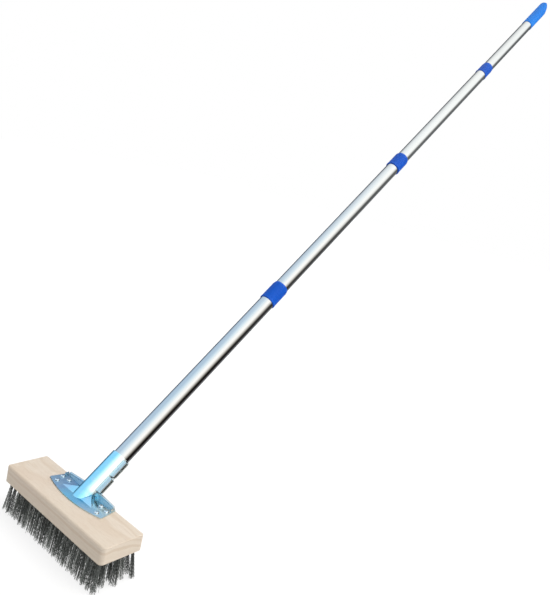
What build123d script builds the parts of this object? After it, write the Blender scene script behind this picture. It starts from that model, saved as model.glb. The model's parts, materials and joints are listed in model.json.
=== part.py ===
from build123d import *

import os
from math import cos, radians, sin

# Steel-wire scrubbing brush for pool walls and decks, on a four-section twist-lock telescopic pole.
# All sizes are in millimetres. The origin is the middle of the bristle tips, on the surface being
# scrubbed. +X runs along the brush head, +Y is the side that the pole leans to and +Z is up.

# ---------------------------------------------------------------- driving dimensions
HEAD_LENGTH = 260.0
HEAD_WIDTH = 75.0
HEAD_THICKNESS = 26.0
HEAD_TOP_ROUND = 5.0  # along both long edges
HEAD_CORNER_ROUND = 7.0  # the four upright edges
HEAD_END_ROUND = 1.2  # along the top of both end faces
HEAD_LOWER_CHAMFER = 1.2

BRISTLE_LENGTH = 50.0
TUFT_PITCH = 12.0
ROW_PITCH = 14.0
ROW_TUFTS = (21, 20, 21, 20, 21)
TUFT_ROOT_RADIUS = 2.4
TUFT_TIP_RADIUS = 5.2
TUFT_SPREAD_X = 1.02  # tip offset over root offset, along the head
TUFT_SPREAD_Y = 1.2  # tip offset over root offset, across the head
TUFT_HOLE_RADIUS = 2.5
TUFT_HOLE_DEPTH = 13.0
ANCHOR_SIZE = (5.6, 0.5, 1.0)
ANCHOR_INSET = 0.3
TUFT_TOP_INSET = 1.5

POLE_TILT = 48.0  # degrees from upright
POLE_FOOT_Y = 25.0  # where the pole's axis crosses the block's top face
TUBE_RADII = (14.6, 13.95, 13.3, 12.65)
TUBE_WALL = 0.5
TUBE_1_START = 14.0  # distances along the pole are counted from where its axis meets the block's top
COLLAR_TOPS = (502.0, 943.0, 1348.0)
COLLAR_LENGTHS = (44.0, 41.0, 38.0)
COLLAR_THICKNESSES = (1.4, 1.75, 0.8)
COLLAR_LIP = 4.0  # the part of a collar past the end of its tube
COLLAR_BEAD = 0.35  # how far the bead round a collar's lower end stands out
COLLAR_BEAD_HEIGHT = 2.2
COLLAR_NOSE = 5.5  # the tapered upper end of a collar
COLLAR_NOSE_STEP = 0.5
COLLAR_NOSE_WALL = 0.7
TUBE_OVERLAP = 48.0
GRIP_BOTTOM = 1570.0
GRIP_TOP = 1683.0
GRIP_RADIUS = 13.6
GRIP_RIM = 0.7  # chamfer round the grip's lower end
GRIP_TUBE_STOP = 26.0  # the solid end of the grip
GRIP_TIP_ROUND = 7.0
GRIP_SLOPE_LENGTH = 28.0  # one side of the tip slopes in over this length
GRIP_SLOPE_MIDDLE = (-14.5, 9.2)  # from the tip, and out from the axis
GRIP_SLOPE_END = (0.5, -3.0)
GRIP_EYE_RADIUS = 4.0
GRIP_EYE_INSET = 10.0
GRIP_EYE_TURN = 20.0  # degrees about the pole, from +X towards the pole's underside

SHEET = 1.8
SOCKET_TOP = 75.0
SOCKET_BOTTOM = 13.0  # the socket's underside stops here, and the rest runs down to the plate
SOCKET_BACK_CUT = 11.0
SOCKET_GAP = 0.3
FAN_BASE = ((48.5, 1.0), (18.7, 31.0))  # corners on the +X side of the pressed fan that stiffens the plate
FAN_CREST = ((13.0, 22.0), (12.0, 30.0))
FAN_HEIGHT = 7.0
PLATE_CORNER = 2.0
PLATE_FRONT_HALF = 68.5
PLATE_BACK_HALF = 62.5
PLATE_FRONT_Y = 2.5
PLATE_BOW_Y = -8.3
PLATE_BACK_Y = 34.0
WING_FLANGE_START = 17.0
WING_FLANGE_END = 58.0
WING_FLANGE_TALL = 7.0
WING_FLANGE_LOW = 3.0
WING_BEAD_RADIUS = 1.7  # rolled edge along the top of each flange
WING_TAB_X = 61.0
WING_TAB_WIDTH = 7.0
WING_TAB_HEIGHT = 3.5
EAR_GAP = 2.4
EAR_LOWER = (11.5, 39.0, 28.5)  # start and end along the pole, and reach from its axis
EAR_UPPER = (41.5, 72.0, 26.5)
EAR_TURN = -15.0  # degrees about the pole, from +X towards the pole's underside
EAR_CORNER = 3.0
EAR_SCREW_ALONG = 57.0
EAR_SCREW_OUT = 21.2
WING_SCREWS = ((53.0, 5.5), (43.0, 21.0), (58.5, 19.5))
SCREW_RADIUS = 2.0
SCREW_HEAD_RADIUS = 3.9
SCREW_HEAD_HEIGHT = 2.2
SCREW_HEAD_ROUND = 1.6
SCREW_SLOT = (4.0, 0.9)
SCREW_SLOT_DEPTH = 1.2
SCREW_DEPTH = 11.0
HOLE_ALLOWANCE = 0.1

FOOT_PLUG_FLANGE = 2.0
FOOT_PLUG_DEPTH = 8.0
FOOT_PLUG_WALL = 2.5

SNUG = 0.02  # radial gap between parts that are glued or pressed together
FLUSH = 0.3  # how far a flange or plug stays inside the tube's outside
LOCK_FIT = 0.06  # radial gap of the sliding and turning fits inside the pole
PLUG_INSERT = 22.0
PLUG_FLANGE = 2.0
SPINDLE_RADIUS = 3.0
SPINDLE_LENGTH = 24.0
EXPANDER_LENGTH = 18.0
EXPANDER_SLIT = 1.6
EXPANDER_NECK_RADIUS = 4.2
EXPANDER_NECK_LENGTH = 4.0
EXPANDER_CHAMFER = 0.6
CONE_LENGTH = 10.0
CONE_SMALL_RADIUS = 5.2
CONE_LARGE_RADIUS = 7.6
CONE_GAP = 0.35
CLIP_RADIUS = 5.6
CLIP_THICKNESS = 1.0
CLIP_INSET = 1.0
END_GAP = 0.3
LEAD_IN = 1.0  # chamfer on a plug's inner end

# ---------------------------------------------------------------- worked-out values
BLOCK_BOTTOM = BRISTLE_LENGTH
BLOCK_TOP = BLOCK_BOTTOM + HEAD_THICKNESS
PLATE_TOP = BLOCK_TOP + SHEET
POLE_FOOT = Vector(0, POLE_FOOT_Y, BLOCK_TOP)
POLE_DIRECTION = Vector(0, sin(radians(POLE_TILT)), cos(radians(POLE_TILT)))
POLE_UNDERSIDE = Vector(0, cos(radians(POLE_TILT)), -sin(radians(POLE_TILT)))
BORE_RADII = tuple(radius - TUBE_WALL for radius in TUBE_RADII)
TUBE_ENDS = tuple(top - COLLAR_LIP for top in COLLAR_TOPS) + (GRIP_TOP - GRIP_TUBE_STOP,)
TUBE_STARTS = (TUBE_1_START,) + tuple(end - TUBE_OVERLAP for end in TUBE_ENDS[:3])
SOCKET_RADIUS = TUBE_RADII[0] + SOCKET_GAP + SHEET


def pole_plane(distance):
    """Plane square to the pole, this far along its axis."""
    return Plane(origin=POLE_FOOT + POLE_DIRECTION * distance, x_dir=(1, 0, 0), z_dir=POLE_DIRECTION)


def axial_plane(distance):
    """Plane holding the pole's axis: its local x is the radius and its local y runs up the pole."""
    origin = POLE_FOOT + POLE_DIRECTION * distance
    return Plane(origin=origin, x_dir=(1, 0, 0), z_dir=-POLE_UNDERSIDE)


def radial_plane(distance, turn):
    """Plane holding the pole's axis: local x runs up the pole, local y outwards, turned this far from +X."""
    outward = Vector(cos(radians(turn)), 0, 0) + POLE_UNDERSIDE * sin(radians(turn))
    origin = POLE_FOOT + POLE_DIRECTION * distance
    return Plane(origin=origin, x_dir=POLE_DIRECTION, z_dir=POLE_DIRECTION.cross(outward))


def pole_axis():
    return Axis(origin=POLE_FOOT, direction=POLE_DIRECTION)


def turned(points, distance):
    """Solid of revolution about the pole, from (radius, height) points above a distance along it."""
    with BuildPart() as solid:
        with BuildSketch(axial_plane(distance)):
            with BuildLine():
                Polyline(*points, close=True)
            make_face()
        revolve(axis=pole_axis())
    return solid.part


def write(part, name):
    part.label = name
    export_step(part, f"parts/{name}.step")


os.makedirs("parts", exist_ok=True)

# ---------------------------------------------------------------- bristles
def tuft_planes(row):
    """One plane per tuft of a row: at the deep end of its hole, with z pointing down the tuft."""
    count = ROW_TUFTS[row]
    root_y = (row - (len(ROW_TUFTS) - 1) / 2) * ROW_PITCH
    planes = []
    for index in range(count):
        root_x = (index - (count - 1) / 2) * TUFT_PITCH
        root = Vector(root_x, root_y, BLOCK_BOTTOM)
        tip = Vector(root_x * TUFT_SPREAD_X, root_y * TUFT_SPREAD_Y, 0)
        down = (tip - root).normalized()
        planes.append(Plane(origin=root - down * TUFT_HOLE_DEPTH, x_dir=(1, 0, 0), z_dir=down))
    return planes


def tuft_locations(rows, inset=0.0):
    return [plane.offset(inset).location for row in rows for plane in tuft_planes(row)]


ALL_ROWS = range(len(ROW_TUFTS))
ROOT_LENGTH = TUFT_HOLE_DEPTH - TUFT_TOP_INSET
FLARE_LENGTH = BRISTLE_LENGTH * 1.03
FLARE_END_RADIUS = TUFT_ROOT_RADIUS + (TUFT_TIP_RADIUS - TUFT_ROOT_RADIUS) * FLARE_LENGTH / BRISTLE_LENGTH
FROM_DEEP_END = (Align.CENTER, Align.CENTER, Align.MIN)

for row in ALL_ROWS:
    with BuildPart() as bristle_row:
        with Locations(*tuft_locations([row], TUFT_TOP_INSET)):
            Cylinder(TUFT_ROOT_RADIUS, ROOT_LENGTH, align=FROM_DEEP_END)
        with Locations(*tuft_locations([row], TUFT_HOLE_DEPTH)):
            Cone(TUFT_ROOT_RADIUS, FLARE_END_RADIUS, FLARE_LENGTH, align=FROM_DEEP_END)
        with BuildSketch(Plane.XY):
            Rectangle(HEAD_LENGTH * 2, HEAD_WIDTH * 2)
        extrude(amount=-HEAD_WIDTH, mode=Mode.SUBTRACT)
    write(bristle_row.part, f"bristle_row_{row + 1}")

with BuildPart() as tuft_anchors:
    with Locations(*tuft_locations(ALL_ROWS, ANCHOR_INSET)):
        Box(*ANCHOR_SIZE, align=FROM_DEEP_END)
write(tuft_anchors.part, "tuft_anchors")

# ---------------------------------------------------------------- wooden block
wing_screw_points = [(side * x, y) for side in (-1, 1) for x, y in WING_SCREWS]

with BuildPart() as brush_block:
    with BuildSketch(Plane.YZ.offset(-HEAD_LENGTH / 2)):
        with Locations((0, BLOCK_BOTTOM + HEAD_THICKNESS / 2)):
            section = Rectangle(HEAD_WIDTH, HEAD_THICKNESS)
        fillet(section.vertices().group_by(Axis.Y)[-1], HEAD_TOP_ROUND)
        chamfer(section.vertices().group_by(Axis.Y)[0], HEAD_LOWER_CHAMFER)
    extrude(amount=HEAD_LENGTH)
    with BuildSketch(Plane.XY.offset(BLOCK_BOTTOM)):
        RectangleRounded(HEAD_LENGTH, HEAD_WIDTH, HEAD_CORNER_ROUND)
    extrude(amount=HEAD_THICKNESS, mode=Mode.INTERSECT)
    with BuildSketch(Plane.XZ.offset(-HEAD_WIDTH / 2)):
        with Locations((0, BLOCK_BOTTOM + HEAD_THICKNESS / 2)):
            outline = Rectangle(HEAD_LENGTH, HEAD_THICKNESS)
        fillet(outline.vertices().group_by(Axis.Y)[-1], HEAD_END_ROUND)
    extrude(amount=HEAD_WIDTH, mode=Mode.INTERSECT)
    with Locations(*tuft_locations(ALL_ROWS)):
        Cylinder(TUFT_HOLE_RADIUS, TUFT_HOLE_DEPTH * 1.2, align=FROM_DEEP_END, mode=Mode.SUBTRACT)
    with BuildSketch(Plane.XY.offset(BLOCK_TOP)):
        with Locations(*wing_screw_points):
            Circle(SCREW_RADIUS + HOLE_ALLOWANCE)
    extrude(amount=-SCREW_DEPTH - HOLE_ALLOWANCE, mode=Mode.SUBTRACT)
write(brush_block.part, "brush_block")

# ---------------------------------------------------------------- pressed-steel handle bracket
def fan(drop):
    """Low pressed fan between wings and socket; dropped by the sheet's thickness, it is its own inside."""
    with BuildPart() as solid:
        for corners, height in ((FAN_BASE, 0), (FAN_CREST, FAN_HEIGHT)):
            (front_x, front_y), (back_x, back_y) = corners
            with BuildSketch(Plane.XY.offset(BLOCK_TOP + height - drop)):
                with BuildLine():
                    Polyline(
                        (-front_x, front_y), (front_x, front_y), (back_x, back_y), (-back_x, back_y),
                        close=True,
                    )
                make_face()
        loft(ruled=True)
    return solid.part


fan_outside = fan(0)
fan_inside = fan(SHEET)

with BuildPart() as handle_bracket:
    # the rolled socket: whole above its cut-back, and open at the back below it
    with BuildSketch(pole_plane(-SOCKET_RADIUS * 2)):
        Circle(SOCKET_RADIUS)
    extrude(amount=SOCKET_RADIUS * 2 + SOCKET_TOP)
    with BuildSketch(pole_plane(SOCKET_BOTTOM)):
        with Locations((0, SOCKET_RADIUS + SOCKET_BACK_CUT)):
            Rectangle(SOCKET_RADIUS * 3, SOCKET_RADIUS * 2)
    extrude(amount=-SOCKET_RADIUS * 4, mode=Mode.SUBTRACT)
    # the plate, bowed out at the front, and the fan above it
    with BuildSketch(Plane.XY.offset(BLOCK_TOP)) as plate:
        with BuildLine():
            front_left = (-PLATE_FRONT_HALF, PLATE_FRONT_Y)
            front_right = (PLATE_FRONT_HALF, PLATE_FRONT_Y)
            bow = ThreePointArc(front_left, (0, PLATE_BOW_Y), front_right)
            Polyline(
                bow @ 1, (PLATE_BACK_HALF, PLATE_BACK_Y), (-PLATE_BACK_HALF, PLATE_BACK_Y), bow @ 0
            )
        make_face()
        fillet(plate.vertices(), PLATE_CORNER)
    extrude(amount=SHEET)
    add(fan_outside)
    # the out-turned ears along the seam
    for start, end, reach in (EAR_LOWER, EAR_UPPER):
        with BuildSketch(radial_plane(0, EAR_TURN)):
            with Locations(((start + end) / 2, reach / 2)):
                RectangleRounded(end - start, reach, EAR_CORNER)
        extrude(amount=EAR_GAP / 2 + SHEET, both=True)
    # low flange with a rolled top along the back of each wing, and a tab at its end
    for side in (-1, 1):
        flange_high = Vector(side * WING_FLANGE_START, PLATE_BACK_Y - SHEET / 2, PLATE_TOP + WING_FLANGE_TALL)
        flange_low = Vector(side * WING_FLANGE_END, PLATE_BACK_Y - SHEET / 2, PLATE_TOP + WING_FLANGE_LOW)
        with BuildSketch(Plane.XZ.offset(-PLATE_BACK_Y)):
            with BuildLine():
                Polyline(
                    (flange_high.X, BLOCK_TOP), (flange_high.X, flange_high.Z),
                    (flange_low.X, flange_low.Z), (flange_low.X, BLOCK_TOP), close=True,
                )
            make_face()
        extrude(amount=SHEET)
        with BuildSketch(Plane(origin=flange_high, z_dir=flange_low - flange_high)):
            Circle(WING_BEAD_RADIUS)
        extrude(amount=(flange_low - flange_high).length)
        with BuildSketch(Plane.XY.offset(BLOCK_TOP)):
            with Locations((side * WING_TAB_X, PLATE_BACK_Y - SHEET - WING_TAB_WIDTH / 2)):
                Rectangle(SHEET, WING_TAB_WIDTH)
        extrude(amount=SHEET + WING_TAB_HEIGHT)
    # the hollow of the fan, the bore, the seam slot and the screw holes
    add(fan_inside, mode=Mode.SUBTRACT)
    with BuildSketch(pole_plane(-SOCKET_RADIUS * 2)):
        Circle(TUBE_RADII[0] + SOCKET_GAP)
    extrude(amount=SOCKET_TOP * 2, mode=Mode.SUBTRACT)
    with BuildSketch(radial_plane(EAR_LOWER[0] - EAR_GAP, EAR_TURN)):
        Rectangle(SOCKET_TOP, SOCKET_RADIUS * 2, align=Align.MIN)
    extrude(amount=EAR_GAP / 2, both=True, mode=Mode.SUBTRACT)
    with BuildSketch(radial_plane(EAR_SCREW_ALONG, EAR_TURN)):
        with Locations((0, EAR_SCREW_OUT)):
            Circle(SCREW_RADIUS + HOLE_ALLOWANCE)
    extrude(amount=SOCKET_RADIUS, both=True, mode=Mode.SUBTRACT)
    with BuildSketch(Plane.XY.offset(BLOCK_TOP)):
        with Locations(*wing_screw_points):
            Circle(SCREW_RADIUS + HOLE_ALLOWANCE)
    extrude(amount=SHEET * 2, mode=Mode.SUBTRACT)
    # nothing of the sheet reaches down into the block
    with BuildSketch(Plane.XY.offset(BLOCK_TOP)):
        Rectangle(HEAD_LENGTH, HEAD_WIDTH + END_GAP)
    extrude(amount=-BLOCK_TOP, mode=Mode.SUBTRACT)
write(handle_bracket.part, "handle_bracket")


def cross_slot():
    Rectangle(*SCREW_SLOT)
    Rectangle(*reversed(SCREW_SLOT))


with BuildPart() as bracket_screws:
    with BuildSketch(Plane.XY.offset(BLOCK_TOP - SCREW_DEPTH)):
        with Locations(*wing_screw_points):
            Circle(SCREW_RADIUS)
    extrude(amount=SCREW_DEPTH + SHEET)
    with BuildSketch(Plane.XY.offset(PLATE_TOP)):
        with Locations(*wing_screw_points):
            Circle(SCREW_HEAD_RADIUS)
    extrude(amount=SCREW_HEAD_HEIGHT)
    fillet(bracket_screws.edges().group_by(Axis.Z)[-1], SCREW_HEAD_ROUND)
    with BuildSketch(Plane.XY.offset(PLATE_TOP + SCREW_HEAD_HEIGHT)):
        with Locations(*wing_screw_points):
            cross_slot()
    extrude(amount=-SCREW_SLOT_DEPTH, mode=Mode.SUBTRACT)
write(bracket_screws.part, "bracket_screws")

# The clamping screw's head is on the ear nearer the pole's underside, and its end is flush in the other ear.
EAR_OUTSIDE = EAR_GAP / 2 + SHEET
head_plane = radial_plane(EAR_SCREW_ALONG, EAR_TURN).offset(EAR_OUTSIDE)
with BuildPart() as socket_screw:
    with BuildSketch(head_plane):
        with Locations((0, EAR_SCREW_OUT)):
            Circle(SCREW_RADIUS)
    extrude(amount=-2 * EAR_OUTSIDE)
    with BuildSketch(head_plane):
        with Locations((0, EAR_SCREW_OUT)):
            Circle(SCREW_HEAD_RADIUS)
    extrude(amount=SCREW_HEAD_HEIGHT)
    fillet(socket_screw.edges().sort_by(Axis(head_plane.origin, head_plane.z_dir))[-1], SCREW_HEAD_ROUND)
    with BuildSketch(head_plane.offset(SCREW_HEAD_HEIGHT)):
        with Locations((0, EAR_SCREW_OUT)):
            cross_slot()
    extrude(amount=-SCREW_SLOT_DEPTH, mode=Mode.SUBTRACT)
write(socket_screw.part, "socket_screw")

# ---------------------------------------------------------------- pole tubes
for number, (radius, start, end) in enumerate(zip(TUBE_RADII, TUBE_STARTS, TUBE_ENDS), 1):
    with BuildPart() as tube:
        with BuildSketch(pole_plane(start)):
            Circle(radius)
            Circle(radius - TUBE_WALL, mode=Mode.SUBTRACT)
        extrude(amount=end - start)
    write(tube.part, f"tube_{number}")

plug_outside = BORE_RADII[0] - SNUG
plug_inside = plug_outside - FOOT_PLUG_WALL
foot_plug = turned(
    [(0, -FOOT_PLUG_FLANGE), (TUBE_RADII[0] - FLUSH, -FOOT_PLUG_FLANGE), (TUBE_RADII[0] - FLUSH, 0),
     (plug_outside, 0), (plug_outside, FOOT_PLUG_DEPTH - LEAD_IN), (plug_outside - LEAD_IN, FOOT_PLUG_DEPTH),
     (plug_inside, FOOT_PLUG_DEPTH), (plug_inside, 0), (0, 0)],
    TUBE_1_START,
)
write(foot_plug, "foot_plug")

# ---------------------------------------------------------------- collars
for number, (top, length, thickness) in enumerate(zip(COLLAR_TOPS, COLLAR_LENGTHS, COLLAR_THICKNESSES), 1):
    tube_fit = TUBE_RADII[number - 1] + SNUG
    lip_radius = TUBE_RADII[number] + LOCK_FIT
    outside = TUBE_RADII[number - 1] + thickness
    bead = outside + COLLAR_BEAD
    shoulder = length - COLLAR_LIP + SNUG
    collar = turned(
        [(tube_fit, 0), (outside, 0), (bead, COLLAR_BEAD), (bead, COLLAR_BEAD_HEIGHT),
         (outside, COLLAR_BEAD_HEIGHT * 2), (outside, length - COLLAR_NOSE),
         (outside - COLLAR_NOSE_STEP, length - COLLAR_NOSE / 2), (lip_radius + COLLAR_NOSE_WALL, length),
         (lip_radius, length), (lip_radius, shoulder), (tube_fit, shoulder)],
        top - length,
    )
    write(collar, f"collar_{number}")

# ---------------------------------------------------------------- end grip
GRIP_LENGTH = GRIP_TOP - GRIP_BOTTOM
grip_bore = TUBE_RADII[3] + SNUG
grip_stop = GRIP_LENGTH - GRIP_TUBE_STOP + SNUG
tip_side = (GRIP_RADIUS, GRIP_LENGTH - GRIP_TIP_ROUND)
tip_end = (GRIP_RADIUS - GRIP_TIP_ROUND, GRIP_LENGTH)

with BuildPart() as end_grip:
    with BuildSketch(axial_plane(GRIP_BOTTOM)):
        with BuildLine():
            Polyline((0, grip_stop), (grip_bore, grip_stop), (grip_bore, 0), (GRIP_RADIUS - GRIP_RIM / 2, 0),
                     (GRIP_RADIUS, GRIP_RIM), tip_side)
            RadiusArc(tip_side, tip_end, -GRIP_TIP_ROUND)
            Polyline(tip_end, (0, GRIP_LENGTH), (0, grip_stop))
        make_face()
    revolve(axis=pole_axis())
    # one side of the tip slopes in towards the eye
    with BuildSketch(radial_plane(GRIP_TOP, GRIP_EYE_TURN)):
        with BuildLine():
            slope = ThreePointArc((-GRIP_SLOPE_LENGTH, GRIP_RADIUS + SNUG), GRIP_SLOPE_MIDDLE, GRIP_SLOPE_END)
            Polyline(slope @ 1, (GRIP_SLOPE_END[0], GRIP_RADIUS * 2), (-GRIP_SLOPE_LENGTH, GRIP_RADIUS * 2),
                     slope @ 0)
        make_face()
    extrude(amount=GRIP_RADIUS * 2, both=True, mode=Mode.SUBTRACT)
    eye_plane = radial_plane(GRIP_TOP - GRIP_EYE_INSET, GRIP_EYE_TURN)
    with BuildSketch(Plane(origin=eye_plane.origin, x_dir=POLE_DIRECTION, z_dir=eye_plane.y_dir)):
        Circle(GRIP_EYE_RADIUS)
    extrude(amount=GRIP_RADIUS * 2, both=True, mode=Mode.SUBTRACT)
write(end_grip.part, "end_grip")

# ---------------------------------------------------------------- twist locks
# Each sliding tube ends in a plug with a threaded spindle. Turning the tube draws a cone into a split
# expander, which grips the bore of the tube outside it. The expander slides but doesn't turn.
for number in (2, 3, 4):
    bore = BORE_RADII[number - 2]
    tube_start = TUBE_STARTS[number - 1]
    plug_radius = BORE_RADII[number - 1] - SNUG
    flange_radius = TUBE_RADII[number - 1] - FLUSH
    flange_bottom = -PLUG_FLANGE
    spindle_bottom = flange_bottom - SPINDLE_LENGTH

    lock_plug = turned(
        [(0, spindle_bottom), (SPINDLE_RADIUS - LEAD_IN / 2, spindle_bottom),
         (SPINDLE_RADIUS, spindle_bottom + LEAD_IN / 2), (SPINDLE_RADIUS, flange_bottom),
         (flange_radius, flange_bottom), (flange_radius, -SNUG), (plug_radius, -SNUG),
         (plug_radius, PLUG_INSERT - LEAD_IN), (plug_radius - LEAD_IN, PLUG_INSERT), (0, PLUG_INSERT)],
        tube_start,
    )
    write(lock_plug, f"lock_plug_{number}")

    expander_top = flange_bottom - END_GAP
    expander_bottom = expander_top - EXPANDER_LENGTH
    expander_radius = bore - LOCK_FIT
    end_radius = expander_radius - EXPANDER_CHAMFER
    neck_bottom = expander_top - EXPANDER_NECK_LENGTH
    cone_top = neck_bottom - END_GAP * 2
    cone_bottom = cone_top - CONE_LENGTH
    cone_slope = (CONE_LARGE_RADIUS - CONE_SMALL_RADIUS) / CONE_LENGTH
    mouth_radius = CONE_SMALL_RADIUS + CONE_GAP + cone_slope * (neck_bottom - expander_bottom)
    with BuildPart() as expander:
        with BuildSketch(axial_plane(tube_start)):
            with BuildLine():
                Polyline(
                    (EXPANDER_NECK_RADIUS, expander_top), (end_radius, expander_top),
                    (expander_radius, expander_top - EXPANDER_CHAMFER),
                    (expander_radius, expander_bottom + EXPANDER_CHAMFER),
                    (end_radius, expander_bottom), (mouth_radius, expander_bottom),
                    (CONE_SMALL_RADIUS + CONE_GAP, neck_bottom), (EXPANDER_NECK_RADIUS, neck_bottom),
                    close=True,
                )
            make_face()
        revolve(axis=pole_axis())
        with BuildSketch(pole_plane(tube_start + expander_bottom)):
            Rectangle(EXPANDER_SLIT, bore * 3)
        extrude(amount=EXPANDER_LENGTH - EXPANDER_NECK_LENGTH, mode=Mode.SUBTRACT)
    write(expander.part, f"expander_{number}")

    nut_bore = SPINDLE_RADIUS + LOCK_FIT
    cone_nut = turned(
        [(nut_bore, cone_bottom), (CONE_LARGE_RADIUS, cone_bottom), (CONE_SMALL_RADIUS, cone_top),
         (nut_bore, cone_top)],
        tube_start,
    )
    write(cone_nut, f"cone_nut_{number}")

    clip_bottom = spindle_bottom + CLIP_INSET
    clip_top = clip_bottom + CLIP_THICKNESS
    clip_bore = SPINDLE_RADIUS + SNUG
    spindle_clip = turned(
        [(clip_bore, clip_bottom), (CLIP_RADIUS, clip_bottom), (CLIP_RADIUS, clip_top),
         (clip_bore, clip_top)],
        tube_start,
    )
    write(spindle_clip, f"spindle_clip_{number}")
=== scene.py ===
import json
import math

import bpy
import numpy as np
from mathutils import Matrix, Vector


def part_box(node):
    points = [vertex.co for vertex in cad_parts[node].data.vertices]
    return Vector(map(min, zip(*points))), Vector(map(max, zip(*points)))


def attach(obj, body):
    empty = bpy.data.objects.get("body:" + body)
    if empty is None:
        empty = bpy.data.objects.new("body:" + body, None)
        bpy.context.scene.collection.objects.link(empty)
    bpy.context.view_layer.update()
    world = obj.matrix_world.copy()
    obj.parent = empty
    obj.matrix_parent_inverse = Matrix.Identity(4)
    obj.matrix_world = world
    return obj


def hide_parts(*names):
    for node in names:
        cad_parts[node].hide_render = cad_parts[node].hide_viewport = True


# Looks for a steel-wire pool brush on a four-section twist-lock pole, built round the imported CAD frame.
# Lengths are in metres, in the frame of the CAD model: +X along the head, the bristle tips at z = 0.

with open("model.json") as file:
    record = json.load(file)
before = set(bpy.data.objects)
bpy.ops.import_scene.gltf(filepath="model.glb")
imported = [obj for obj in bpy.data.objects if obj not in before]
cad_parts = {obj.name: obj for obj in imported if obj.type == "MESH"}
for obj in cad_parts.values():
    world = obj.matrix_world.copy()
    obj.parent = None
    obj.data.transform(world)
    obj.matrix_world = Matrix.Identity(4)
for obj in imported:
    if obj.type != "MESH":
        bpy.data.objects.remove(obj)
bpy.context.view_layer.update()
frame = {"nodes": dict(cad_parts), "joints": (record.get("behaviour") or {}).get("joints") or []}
scene = bpy.context.scene

# ---------------------------------------------------------------- values
BLOCK_LOW, BLOCK_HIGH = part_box("brush_block")
SLIDE = next(joint for joint in frame["joints"] if joint["name"] == "section_2_slide")
POLE_DIRECTION = Vector(SLIDE["axis"]).normalized()
POLE_TILT = math.atan2(POLE_DIRECTION.y, POLE_DIRECTION.z)
POLE_FOOT_Y = 0.025
POLE_FOOT = Vector((0, POLE_FOOT_Y, BLOCK_HIGH.z))
ALONG_POLE = (POLE_TILT, 0, 0)  # turns the pole's direction onto z

ROW_TUFTS = (21, 20, 21, 20, 21)  # how many tufts each row has, from -Y to +Y
ROW_PITCH = 0.014
TUFT_PITCH = 0.012
TUFT_SPREAD = (1.02, 1.2)  # how much wider than at the block the tips stand, in X and Y
TUFT_ROOT_RADIUS = 0.0023
TUFT_TIP_RADIUS = 0.0057
WIRES_PER_TUFT = 40
WIRE_RADIUS = 0.00025
WIRE_SIDES = 3
WIRE_STEPS = 38
WIRE_HOLD = 0.06  # share of a wire's length that is inside its hole
WIRE_CUT = (0.004, 0.012)  # how far a wire is short of the floor, as shares of its length
CRIMP_LENGTH = 0.0062
CRIMP_HEIGHT = 0.00042
CRIMP_GROWTH = 3  # the crimp starts at half its height and is full at 1/3 of the length
SPLAY_POWER = 1.15
TIP_SCATTER = 0.0007
STRAY_SHARE = 0.05
STRAY_REACH = 1.35  # how much further out a stray wire's tip is
WIRE_TONE_MEAN = 0.4
WIRE_TONE_SPREAD = 0.24
WIRE_SEED = 40

CAMERA_PLACE = Vector((0.7315, -0.5868, 0.6409))
CAMERA_AZIMUTH = 36.925  # degrees from +Y towards -X
CAMERA_DIP = 11.608
CAMERA_ROLL = -13.176
CAMERA_LENS = 39.505

PITH = (-0.021, -0.085)  # the middle of the block's growth rings, as (y, z)
RINGS_PER_METRE = 210.0
FLANGE_Y = 0.0325  # where the bracket's back flanges start
SOCKET_RADIUS = 0.0167
EAR_START = 0.009  # how far up the pole the bracket's ears start
PAINTED_HIGHLIGHT_X = (0.004, 0.011)  # the X at which the painted highlight on the socket's +X side starts and is full
PAINTED_HIGHLIGHT_UP = (0.002, 0.008)  # and how far up the pole
MASK_EDGE = 0.001  # how wide the soft edge of a mask is
EDGE_SHADE_TINT = (0.25, 0.28, 0.32, 1.0)  # painted shade: a dark tint that darkens the metal along its outline, where it is seen edge-on

FLOOR_HALF = 9.0
FLOOR_DROP = 0.0004  # how far the floor is below the bristle tips
FLOOR_GLOW = 0.78
KEY_ENERGY = 2.3
KEY_SOFTNESS = 70  # degrees
KEY_DIRECTION = Vector((-0.42, -0.30, -0.9))
WORLD_SIDES = (-0.9, 0.2)  # the Y of a direction at which the world is dimmest and brightest
WORLD_STRENGTHS = (0.18, 0.76)
TENT_RADIUS = 0.2
TENT_STEPS = 120
# the reflecting tent's rings: metres up the pole, and how far the tones have gone from near to far ones
TENT_STATIONS = ((-0.06, 0.0), (0.35, 0.0), (0.75, 0.3), (1.15, 0.85), (1.5, 1.0), (2.0, 1.0))
TENT_PALE = (1.50, 1.54, 1.52)
# far tones, as shares of the pale one by degrees round the pole, from the side that faces the camera
TENT_FAR_SHARES = (
    (-180, 0.10), (-160, 0.06), (-140, 0.12), (-122, 0.30), (-100, 0.72),
    (-60, 0.92), (0, 1.0), (40, 1.0), (56, 0.72), (72, 0.22),
    (92, 0.13), (112, 0.20), (140, 0.50), (165, 0.30), (180, 0.10),
)
# near tones by the same degrees
TENT_NEAR_TONES = (
    (-180, (0.10, 0.11, 0.13)),
    (-160, (0.03, 0.04, 0.06)),
    (-146, (0.04, 0.06, 0.09)),
    (-136, (0.14, 0.18, 0.26)),
    (-130, (0.36, 0.46, 0.62)),
    (-120, (0.50, 0.66, 0.86)),
    (-108, (0.68, 0.90, 1.10)),
    (-62, (0.68, 0.90, 1.12)),
    (-30, (1.00, 1.22, 1.36)),
    (4, (1.50, 1.52, 1.50)),
    (24, (1.55, 1.53, 1.48)),
    (44, (0.95, 0.92, 0.86)),
    (62, (0.24, 0.22, 0.19)),
    (76, (0.0, 0.0, 0.0)),
    (102, (0.0, 0.0, 0.0)),
    (116, (0.10, 0.09, 0.09)),
    (128, (0.42, 0.42, 0.41)),
    (146, (0.60, 0.60, 0.60)),
    (165, (0.45, 0.46, 0.49)),
    (180, (0.10, 0.11, 0.13)),
)


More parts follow.
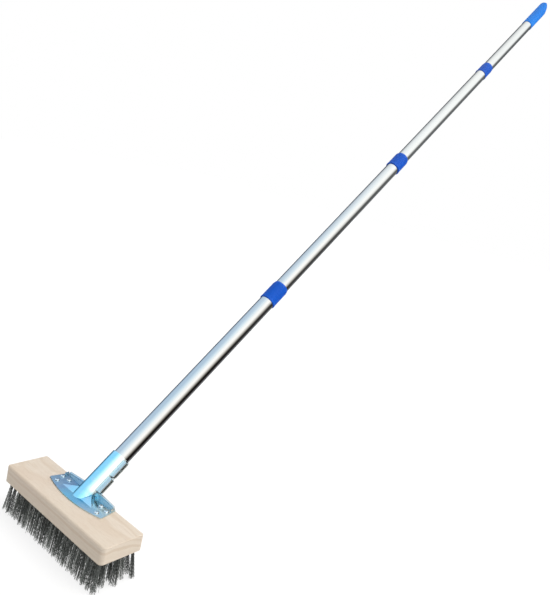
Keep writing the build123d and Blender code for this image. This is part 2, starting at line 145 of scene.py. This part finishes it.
# ---------------------------------------------------------------- material building
class Finish:
    """One procedural material: its node tree and the shader that its nodes feed."""

    def __init__(self, name, **sockets):
        self.material = bpy.data.materials.new(name)
        self.material.use_nodes = True
        self.tree = self.material.node_tree
        self.shader = self.tree.nodes["Principled BSDF"]
        for socket, value in sockets.items():
            self.shader.inputs[socket.replace("_", " ")].default_value = value

    def join(self, socket, value):
        if isinstance(value, bpy.types.NodeSocket):
            self.tree.links.new(value, socket)
        else:
            socket.default_value = value

    def add(self, kind, settings=None, **inputs):
        made = self.tree.nodes.new("ShaderNode" + kind)
        for key, value in (settings or {}).items():
            setattr(made, key, value)
        for key, value in inputs.items():
            self.join(made.inputs[key.replace("_", " ")], value)
        return made

    def feed(self, socket, value):
        self.join(self.shader.inputs[socket], value)

    def place(self, scale, turn=(0, 0, 0)):
        """The piece's own coordinates, turned and then multiplied by cycles per metre along each axis."""
        own = self.add("TexCoord").outputs["Object"]
        turned = self.add("Mapping", Vector=own, Rotation=turn).outputs["Vector"]
        return self.add("Mapping", Vector=turned, Scale=scale).outputs["Vector"]

    def noise(self, scale, turn=(0, 0, 0), detail=2.0, roughness=0.5, distortion=0.0):
        vector = self.place(scale, turn)
        made = self.add("TexNoise", Vector=vector, Scale=1.0, Detail=detail, Roughness=roughness,
                        Distortion=distortion)
        return made.outputs["Fac"]

    def remap(self, value, low, high, new_low=0.0, new_high=1.0):
        made = self.add("MapRange", Value=value, From_Min=low, From_Max=high,
                        To_Min=new_low, To_Max=new_high)
        return made.outputs["Result"]

    def math(self, operation, first, second=0.0):
        made = self.add("Math", {"operation": operation})
        self.join(made.inputs[0], first)
        self.join(made.inputs[1], second)
        return made.outputs[0]

    def dot(self, first, second):
        made = self.add("VectorMath", {"operation": "DOT_PRODUCT"})
        self.join(made.inputs[0], first)
        self.join(made.inputs[1], second)
        return made.outputs["Value"]

    def mix(self, factor, first, second):
        made = self.add("Mix", {"data_type": "RGBA"})
        self.join(made.inputs["Factor"], factor)
        self.join(made.inputs[6], first)
        self.join(made.inputs[7], second)
        return made.outputs[2]

    def ramp(self, value, stops):
        made = self.add("ValToRGB", Fac=value)
        elements = made.color_ramp.elements
        elements[0].position, elements[0].color = stops[0]
        elements[1].position, elements[1].color = stops[-1]
        for position, colour in stops[1:-1]:
            elements.new(position).color = colour
        return made.outputs["Color"]

    def bump(self, height, strength, distance, normal=None):
        made = self.add("Bump", Height=height, Strength=strength, Distance=distance)
        if normal is not None:
            self.join(made.inputs["Normal"], normal)
        return made.outputs["Normal"]


def tone(red, green, blue):
    return (red, green, blue, 1.0)


# ---------------------------------------------------------------- finishes
def beech():
    """Planed pale beech: growth rings about a far pith, fine grain and short dark ray flecks."""
    finish = Finish("beech", IOR=1.45)
    own = finish.add("TexCoord").outputs["Object"]
    parts = finish.add("SeparateXYZ", Vector=own).outputs
    across = finish.math("SUBTRACT", parts["Y"], PITH[0])
    up = finish.math("SUBTRACT", parts["Z"], PITH[1])
    squared = finish.math("ADD", finish.math("MULTIPLY", across, across), finish.math("MULTIPLY", up, up))
    radius = finish.math("SQRT", squared)
    warp = finish.math("MULTIPLY", finish.noise((7, 22, 22), detail=3), 0.016)
    rings = finish.add("TexNoise", {"noise_dimensions": "1D"}, Scale=RINGS_PER_METRE, Detail=3.0,
                       Roughness=0.6, W=finish.math("ADD", radius, warp)).outputs["Fac"]
    colour = finish.ramp(rings, (
        (0.30, tone(0.61, 0.50, 0.385)),
        (0.46, tone(0.66, 0.565, 0.455)),
        (0.62, tone(0.69, 0.60, 0.495)),
        (0.80, tone(0.645, 0.545, 0.43)),
    ))
    blotch = finish.remap(finish.noise((9, 26, 26), detail=2), 0.35, 0.7)
    colour = finish.mix(finish.math("MULTIPLY", blotch, 0.4), colour, tone(0.66, 0.535, 0.44))
    grain = finish.noise((38, 900, 900), detail=4, roughness=0.62)
    colour = finish.mix(finish.remap(grain, 0.52, 0.75, 0, 0.5), colour, tone(0.52, 0.41, 0.305))
    flecks = finish.noise((320, 2300, 2300), detail=1)
    colour = finish.mix(finish.remap(flecks, 0.66, 0.74, 0, 0.45), colour, tone(0.36, 0.26, 0.18))
    finish.feed("Base Color", colour)
    finish.feed("Roughness", finish.remap(grain, 0.3, 0.75, 0.5, 0.74))
    rough = finish.bump(grain, 0.35, 0.00025)
    finish.feed("Normal", finish.bump(flecks, 0.25, 0.0001, rough))
    return finish.material


def dark_wire():
    """Oil-tempered steel wire: each wire has its own grey, with dull scale and a few bright scuffs."""
    finish = Finish("steel_wire", Metallic=0.85)
    wire = finish.add("Attribute", {"attribute_name": "wire_tone"}).outputs["Fac"]
    along = finish.add("Attribute", {"attribute_name": "wire_along"}).outputs["Fac"]
    colour = finish.ramp(wire, (
        (0.0, tone(0.02, 0.024, 0.023)),
        (0.40, tone(0.12, 0.135, 0.13)),
        (0.70, tone(0.40, 0.43, 0.41)),
        (1.0, tone(0.95, 0.97, 0.92)),
    ))
    scale = finish.remap(finish.noise((700, 700, 260), detail=2), 0.4, 0.65)
    colour = finish.mix(finish.math("MULTIPLY", scale, 0.55), colour, tone(0.16, 0.155, 0.14))
    bright = finish.remap(along, 0.92, 1.0, 0.0, 0.4)
    colour = finish.mix(bright, colour, tone(0.55, 0.56, 0.54))
    finish.feed("Base Color", colour)
    finish.feed("Roughness", finish.remap(scale, 0.0, 1.0, 0.28, 0.5))
    finish.feed("Normal", finish.bump(scale, 0.2, 0.00005))
    return finish.material


def bracket_masks(finish, own, parts):
    """(dull, pale): where the ears and back flanges are, and where the socket's +X side has a painted
    highlight.
    """
    foot = POLE_FOOT.dot(POLE_DIRECTION)
    up_pole = finish.math("SUBTRACT", finish.dot(own, tuple(POLE_DIRECTION)), foot)
    outward = finish.math("ABSOLUTE", parts["X"])
    beside_socket = finish.remap(parts["X"], SOCKET_RADIUS, SOCKET_RADIUS + MASK_EDGE)
    on_ear = finish.math("MULTIPLY", beside_socket,
                         finish.remap(up_pole, EAR_START, EAR_START + 1.5 * MASK_EDGE))
    on_flange = finish.math("MULTIPLY", finish.remap(parts["Y"], FLANGE_Y - MASK_EDGE, FLANGE_Y),
                            finish.remap(outward, SOCKET_RADIUS, SOCKET_RADIUS + 3.3 * MASK_EDGE))
    dull = finish.math("MAXIMUM", on_ear, on_flange)
    # painted highlight: a paler band on the socket's +X side, starting a little way up the pole
    highlight_side = finish.math("MULTIPLY", finish.remap(parts["X"], *PAINTED_HIGHLIGHT_X),
                              finish.math("SUBTRACT", 1.0, beside_socket))
    pale = finish.math("MULTIPLY", highlight_side, finish.remap(up_pole, *PAINTED_HIGHLIGHT_UP))
    return dull, pale


def blue_zinc():
    """Blue-passivated zinc on pressed sheet: cyan round the socket, greyer wings, dull ears, and a
    painted highlight on the socket's +X side.
    """
    # the dark Specular Tint paints shade along the outline, where the metal is seen edge-on
    finish = Finish("blue_zinc", Metallic=1.0, Specular_Tint=EDGE_SHADE_TINT)
    own = finish.add("TexCoord").outputs["Object"]
    parts = finish.add("SeparateXYZ", Vector=own).outputs
    clouds = finish.noise((30, 30, 30), detail=2, distortion=0.5)
    drift = finish.math("ADD", parts["X"], finish.math("MULTIPLY", clouds, 0.03))
    colour = finish.ramp(finish.remap(drift, -0.05, 0.08), (
        (0.0, tone(0.58, 0.70, 0.76)),
        (0.28, tone(0.46, 0.64, 0.80)),
        (0.40, tone(0.40, 0.80, 0.93)),
        (0.60, tone(0.36, 0.74, 0.93)),
        (0.80, tone(0.58, 0.76, 0.84)),
        (1.0, tone(0.70, 0.79, 0.81)),
    ))
    worn = finish.remap(finish.noise((90, 90, 90), detail=3), 0.5, 0.75, 0, 0.5)
    colour = finish.mix(worn, colour, tone(0.66, 0.76, 0.80))
    dull, pale = bracket_masks(finish, own, parts)
    colour = finish.mix(dull, colour, tone(0.74, 0.80, 0.80))
    # painted highlight: the socket's +X side is painted paler
    colour = finish.mix(pale, colour, tone(0.80, 0.90, 0.91))
    finish.feed("Base Color", colour)
    drag = finish.noise((1500, 1500, 60), ALONG_POLE, detail=2)
    finish.feed("Roughness", finish.remap(finish.math("MAXIMUM", worn, dull), 0.0, 1.0, 0.18, 0.36))
    finish.feed("Normal", finish.bump(drag, 0.06, 0.00004))
    return finish.material


def zinc_screw():
    """Bright zinc on small fasteners, with the dull patches that barrel plating leaves."""
    finish = Finish("zinc_screws", Metallic=1.0)
    patches = finish.noise((500, 500, 500), detail=3)
    finish.feed("Base Color", finish.ramp(patches, (
        (0.35, tone(0.66, 0.72, 0.76)),
        (0.65, tone(0.86, 0.90, 0.92)),
    )))
    finish.feed("Roughness", finish.remap(patches, 0.3, 0.7, 0.18, 0.34))
    finish.feed("Normal", finish.bump(patches, 0.15, 0.00006))
    return finish.material


def bright_tube():
    """Plated drawn tube: fine lines along the pole, with light rub marks where the sections slide."""
    # the dark Specular Tint paints shade along the outline, where the metal is seen edge-on
    finish = Finish("bright_tube", Metallic=1.0, Specular_Tint=EDGE_SHADE_TINT)
    lines = finish.noise((2600, 2600, 14), ALONG_POLE, detail=3, roughness=0.6)
    rubs = finish.noise((160, 160, 9), ALONG_POLE, detail=4, roughness=0.65)
    colour = finish.ramp(lines, (
        (0.30, tone(0.60, 0.60, 0.60)),
        (0.70, tone(0.68, 0.68, 0.675)),
    ))
    colour = finish.mix(finish.remap(rubs, 0.55, 0.75, 0, 0.3), colour, tone(0.54, 0.55, 0.56))
    finish.feed("Base Color", colour)
    finish.feed("Roughness", finish.remap(rubs, 0.3, 0.7, 0.07, 0.13))
    finish.feed("Normal", finish.bump(lines, 0.1, 0.00004))
    return finish.material


def moulded_plastic(name, deep, pale, roughness, grain_depth):
    """Injection-moulded plastic: slight flow marks in the colour and a fine eroded-tool surface."""
    finish = Finish(name, IOR=1.26)
    flow = finish.noise((60, 60, 22), ALONG_POLE, detail=3, distortion=0.8)
    finish.feed("Base Color", finish.ramp(flow, ((0.3, deep), (0.72, pale))))
    texture = finish.noise((1700, 1700, 1700), detail=2)
    finish.feed("Roughness", finish.remap(texture, 0.3, 0.7, roughness, roughness + 0.12))
    scuffs = finish.noise((900, 900, 40), ALONG_POLE, detail=3)
    fine = finish.bump(texture, grain_depth, 0.00008)
    finish.feed("Normal", finish.bump(scuffs, 0.08, 0.00006, fine))
    return finish.material


def dress(material, *names):
    """Gives the named CAD nodes one finish."""
    for name in names:
        slots = frame["nodes"][name].data.materials
        slots.clear()
        slots.append(material)


# ---------------------------------------------------------------- bristle wires
def tuft_ends(row):
    """(middle at the block, middle at the floor) of each tuft in a row."""
    count = ROW_TUFTS[row]
    root_y = (row - (len(ROW_TUFTS) - 1) / 2) * ROW_PITCH
    ends = []
    for index in range(count):
        root_x = (index - (count - 1) / 2) * TUFT_PITCH
        root = np.array((root_x, root_y, BLOCK_LOW.z))
        ends.append((root, root * (TUFT_SPREAD[0], TUFT_SPREAD[1], 0)))
    return ends


def disc(draw, count, radius):
    """Random points spread evenly over a disc, as (x, y, 0)."""
    angle = draw.uniform(0, 2 * math.pi, count)
    distance = radius * np.sqrt(draw.uniform(0, 1, count))
    return np.stack((distance * np.cos(angle), distance * np.sin(angle), np.zeros(count)), axis=1)


def tuft_lines(draw, root, tip):
    """Crimped centre lines of one tuft's wires, as an array of wires by steps by three."""
    count = WIRES_PER_TUFT
    root_offset = disc(draw, count, TUFT_ROOT_RADIUS)
    tip_offset = root_offset * (TUFT_TIP_RADIUS / TUFT_ROOT_RADIUS) + disc(draw, count, TIP_SCATTER)
    stray = draw.uniform(0, 1, count) < STRAY_SHARE
    tip_offset[stray] *= STRAY_REACH
    reach = 1 - draw.uniform(*WIRE_CUT, count)
    share = np.linspace(-WIRE_HOLD, 1, WIRE_STEPS)[None, :] * reach[:, None]
    splay = np.clip(share, 0, 1) ** SPLAY_POWER
    middle = root + (tip - root) * share[..., None]
    line = middle + root_offset[:, None] * (1 - splay[..., None]) + tip_offset[:, None] * splay[..., None]
    turn = draw.uniform(0, 2 * math.pi, count)
    sideways = np.stack((np.cos(turn), np.sin(turn), np.zeros(count)), axis=1)
    waves = share * BLOCK_LOW.z / CRIMP_LENGTH + draw.uniform(0, 1, count)[:, None]
    height = CRIMP_HEIGHT * (0.5 + 0.5 * np.clip(share * CRIMP_GROWTH, 0, 1))
    return line + sideways[:, None] * (height * np.sin(2 * math.pi * waves))[..., None]


def wire_faces(wires):
    """Quads along each wire and a cap on both ends, for vertices in order of wire, step and side."""
    side = np.arange(WIRE_SIDES)
    step = np.arange(WIRE_STEPS - 1)[:, None] * WIRE_SIDES
    following = (side + 1) % WIRE_SIDES
    quads = np.stack(np.broadcast_arrays(step + side, step + following, step + following + WIRE_SIDES,
                                         step + side + WIRE_SIDES), axis=-1).reshape(-1, 4)
    first = np.arange(wires)[:, None] * WIRE_STEPS * WIRE_SIDES
    walls = (first[..., None] + quads).reshape(-1, 4)
    starts = first + side[::-1]
    ends = first + (WIRE_STEPS - 1) * WIRE_SIDES + side
    return walls.tolist() + starts.tolist() + ends.tolist()


def wire_row(row, material):
    """One row of tufts as real crimped wires, standing for the row's solid tufts."""
    draw = np.random.default_rng(WIRE_SEED + row)
    lines = np.concatenate([tuft_lines(draw, root, tip) for root, tip in tuft_ends(row)])
    angle = 2 * math.pi * np.arange(WIRE_SIDES) / WIRE_SIDES
    ring = WIRE_RADIUS * np.stack((np.cos(angle), np.sin(angle), np.zeros(WIRE_SIDES)), axis=1)
    points = (lines[:, :, None] + ring).reshape(-1, 3)
    mesh = bpy.data.meshes.new(f"bristle_wires_{row + 1}")
    mesh.from_pydata(points.tolist(), [], wire_faces(len(lines)))
    mesh.polygons.foreach_set("use_smooth", np.ones(len(mesh.polygons), dtype=bool))
    tones = np.clip(draw.normal(WIRE_TONE_MEAN, WIRE_TONE_SPREAD, len(lines)), 0, 1)
    per_wire = WIRE_STEPS * WIRE_SIDES
    along = np.tile(np.repeat(np.linspace(0, 1, WIRE_STEPS), WIRE_SIDES), len(lines))
    for name, values in (("wire_tone", np.repeat(tones, per_wire)), ("wire_along", along)):
        mesh.attributes.new(name, "FLOAT", "POINT").data.foreach_set("value", values.astype(np.float32))
    mesh.materials.append(material)
    piece = bpy.data.objects.new(mesh.name, mesh)
    scene.collection.objects.link(piece)
    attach(piece, "head")
    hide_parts(f"bristle_row_{row + 1}")


# ---------------------------------------------------------------- stage, light and camera
def glowing(name):
    """A material that glows in the mesh's own colour attribute of the same name."""
    material = bpy.data.materials.new(name)
    material.use_nodes = True
    tree = material.node_tree
    tree.nodes.clear()
    colour = tree.nodes.new("ShaderNodeAttribute")
    colour.attribute_name = name
    glow = tree.nodes.new("ShaderNodeEmission")
    tree.links.new(colour.outputs["Color"], glow.inputs["Color"])
    output = tree.nodes.new("ShaderNodeOutputMaterial")
    tree.links.new(glow.outputs["Emission"], output.inputs["Surface"])
    return material


def floor():
    """A plain pale floor, bright enough to meet the white behind it."""
    mesh = bpy.data.meshes.new("studio_floor")
    corners = [(x * FLOOR_HALF, y * FLOOR_HALF, -FLOOR_DROP)
               for x, y in ((-1, -1), (1, -1), (1, 1), (-1, 1))]
    mesh.from_pydata(corners, [], [(0, 1, 2, 3)])
    finish = Finish("studio_floor", Roughness=0.9, IOR=1.0)
    shade = finish.noise((3, 3, 3), detail=2)
    finish.feed("Base Color", finish.ramp(shade, (
        (0.3, tone(0.24, 0.24, 0.24)),
        (0.7, tone(0.26, 0.26, 0.26)),
    )))
    finish.feed("Emission Color", tone(1, 1, 1))
    finish.feed("Emission Strength", FLOOR_GLOW)
    mesh.materials.append(finish.material)
    piece = bpy.data.objects.new(mesh.name, mesh)
    scene.collection.objects.link(piece)


def reflection_tent():
    """A tube of graded panels round the pole that shows only in reflections, as a studio's flags do."""
    towards_camera = CAMERA_PLACE - POLE_FOOT
    towards_camera -= POLE_DIRECTION * towards_camera.dot(POLE_DIRECTION)
    towards_camera.normalize()
    right = POLE_DIRECTION.cross(towards_camera)
    turn = np.linspace(-180, 180, TENT_STEPS + 1)
    angles, tones = zip(*TENT_NEAR_TONES)
    near = np.stack([np.interp(turn, angles, channel) for channel in zip(*tones)], axis=1)
    far = np.outer(np.interp(turn, *zip(*TENT_FAR_SHARES)), TENT_PALE)
    points, colours = [], []
    for along, share in TENT_STATIONS:
        colours.append(near * (1 - share) + far * share)
        for angle in np.radians(turn):
            outward = towards_camera * math.cos(angle) + right * math.sin(angle)
            points.append(POLE_FOOT + POLE_DIRECTION * along + outward * TENT_RADIUS)
    colours = np.concatenate(colours)
    across = TENT_STEPS + 1
    firsts = [ring * across + step
              for ring in range(len(TENT_STATIONS) - 1) for step in range(TENT_STEPS)]
    faces = [(first, first + 1, first + 1 + across, first + across) for first in firsts]
    mesh = bpy.data.meshes.new("reflection_tent")
    mesh.from_pydata(points, [], faces)
    shade = mesh.attributes.new(mesh.name, "FLOAT_COLOR", "POINT")
    shade.data.foreach_set("color", np.column_stack((colours, np.ones(len(colours)))).ravel())
    mesh.materials.append(glowing(mesh.name))
    piece = bpy.data.objects.new(mesh.name, mesh)
    scene.collection.objects.link(piece)
    for flag in ("visible_camera", "visible_diffuse", "visible_transmission", "visible_volume_scatter",
                 "visible_shadow"):
        setattr(piece, flag, False)


def studio_world():
    """White to the camera; as light, a soft grey that is dimmer on the -Y side."""
    world = bpy.data.worlds.new("studio")
    world.use_nodes = True
    tree = world.node_tree
    light = tree.nodes["Background"]
    direction = tree.nodes.new("ShaderNodeTexCoord").outputs["Generated"]
    parts = tree.nodes.new("ShaderNodeSeparateXYZ")
    tree.links.new(direction, parts.inputs[0])
    side = tree.nodes.new("ShaderNodeMapRange")
    side.inputs["From Min"].default_value, side.inputs["From Max"].default_value = WORLD_SIDES
    side.inputs["To Min"].default_value, side.inputs["To Max"].default_value = WORLD_STRENGTHS
    tree.links.new(parts.outputs["Y"], side.inputs["Value"])
    tree.links.new(side.outputs["Result"], light.inputs["Strength"])
    light.inputs["Color"].default_value = (1, 1, 1, 1)
    seen = tree.nodes.new("ShaderNodeBackground")
    seen.inputs["Color"].default_value = (1, 1, 1, 1)
    path = tree.nodes.new("ShaderNodeLightPath")
    mix = tree.nodes.new("ShaderNodeMixShader")
    tree.links.new(path.outputs["Is Camera Ray"], mix.inputs[0])
    tree.links.new(light.outputs[0], mix.inputs[1])
    tree.links.new(seen.outputs[0], mix.inputs[2])
    tree.links.new(mix.outputs[0], tree.nodes["World Output"].inputs["Surface"])
    scene.world = world


def key_light():
    """A broad soft light from above, on the +X and +Y side."""
    light = bpy.data.lights.new("key_light", "SUN")
    light.energy = KEY_ENERGY
    light.angle = math.radians(KEY_SOFTNESS)
    lamp = bpy.data.objects.new("key_light", light)
    lamp.rotation_mode = "QUATERNION"
    lamp.rotation_quaternion = KEY_DIRECTION.to_track_quat("-Z", "Y")
    lamp.visible_glossy = False
    scene.collection.objects.link(lamp)


def camera():
    """The camera, leaning to one side as it was held."""
    azimuth, dip, roll = (math.radians(a) for a in (CAMERA_AZIMUTH, CAMERA_DIP, CAMERA_ROLL))
    flat = Vector((-math.sin(azimuth), math.cos(azimuth), 0))
    forward = flat * math.cos(dip) - Vector((0, 0, math.sin(dip)))
    level = forward.cross(Vector((0, 0, 1))).normalized()
    upright = level.cross(forward)
    up = upright * math.cos(roll) + level * math.sin(roll)
    right = forward.cross(up)
    data = bpy.data.cameras.new("camera")
    data.lens = CAMERA_LENS
    data.clip_end = 60
    made = bpy.data.objects.new("camera", data)
    axes = Matrix((right, up, -forward)).transposed().to_4x4()
    made.matrix_world = Matrix.Translation(CAMERA_PLACE) @ axes
    scene.collection.objects.link(made)
    scene.camera = made


# ---------------------------------------------------------------- the object
wire = dark_wire()
for row in range(len(ROW_TUFTS)):
    wire_row(row, wire)

collar_blue = moulded_plastic("collar_blue", tone(0.0005, 0.080, 0.50), tone(0.001, 0.096, 0.58),
                              0.34, 0.10)
grip_blue = moulded_plastic("grip_blue", tone(0.003, 0.19, 0.74), tone(0.006, 0.235, 0.82), 0.40, 0.25)
white_nylon = moulded_plastic("white_nylon", tone(0.72, 0.71, 0.66), tone(0.80, 0.79, 0.75), 0.4, 0.2)
black_nylon = moulded_plastic("black_nylon", tone(0.02, 0.02, 0.022), tone(0.035, 0.035, 0.036),
                              0.42, 0.25)
zinc = zinc_screw()

dress(beech(), "brush_block")
dress(blue_zinc(), "handle_bracket")
dress(zinc, "bracket_screws", "socket_screw", "tuft_anchors")
dress(bright_tube(), "tube_1", "tube_2", "tube_3", "tube_4")
dress(collar_blue, "collar_1", "collar_2", "collar_3")
dress(grip_blue, "end_grip")
dress(black_nylon, "foot_plug", "lock_plug_2", "lock_plug_3", "lock_plug_4")
dress(black_nylon, "cone_nut_2", "cone_nut_3", "cone_nut_4")
dress(white_nylon, "expander_2", "expander_3", "expander_4")
dress(zinc, "spindle_clip_2", "spindle_clip_3", "spindle_clip_4")

floor()
studio_world()
key_light()
reflection_tent()
camera()
scene.view_settings.view_transform = "Standard"
